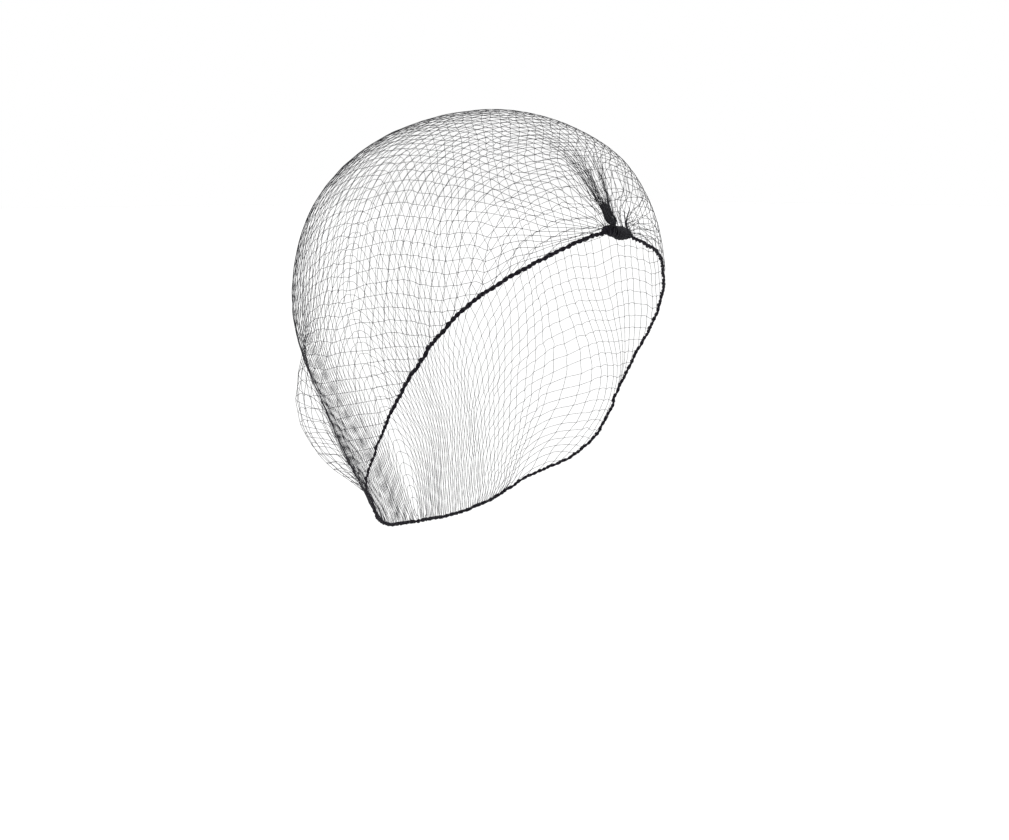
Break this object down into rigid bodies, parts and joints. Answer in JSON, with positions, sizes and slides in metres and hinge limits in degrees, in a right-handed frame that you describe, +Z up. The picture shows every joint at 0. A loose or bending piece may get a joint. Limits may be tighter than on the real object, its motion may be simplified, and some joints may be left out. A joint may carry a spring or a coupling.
{
  "type": "mesh hair net cap with elastic band",
  "caption": "Knotted mesh hair net in its worn form, a hollow net crown gathered to a knot over the forehead, with a round elastic cord in its whole rim.",
  "frame": {"origin": "where the crown of a head bears on the inside of the cap's top", "axes": "+Z up as worn, the forehead and its knot face -Y, the wearer's right side is -X"},
  "size_m": [0.1842, 0.1913, 0.1973],
  "materials": {
    "black_net": "knotted black nylon thread, slight sheen",
    "black_elastic": "braided black elastic cord, matte"
  },
  "bodies": {
    "root": {"net_crown": "black_net", "elastic_band": "black_elastic", "band_knot": "black_elastic"}
  },
  "joints": []
}
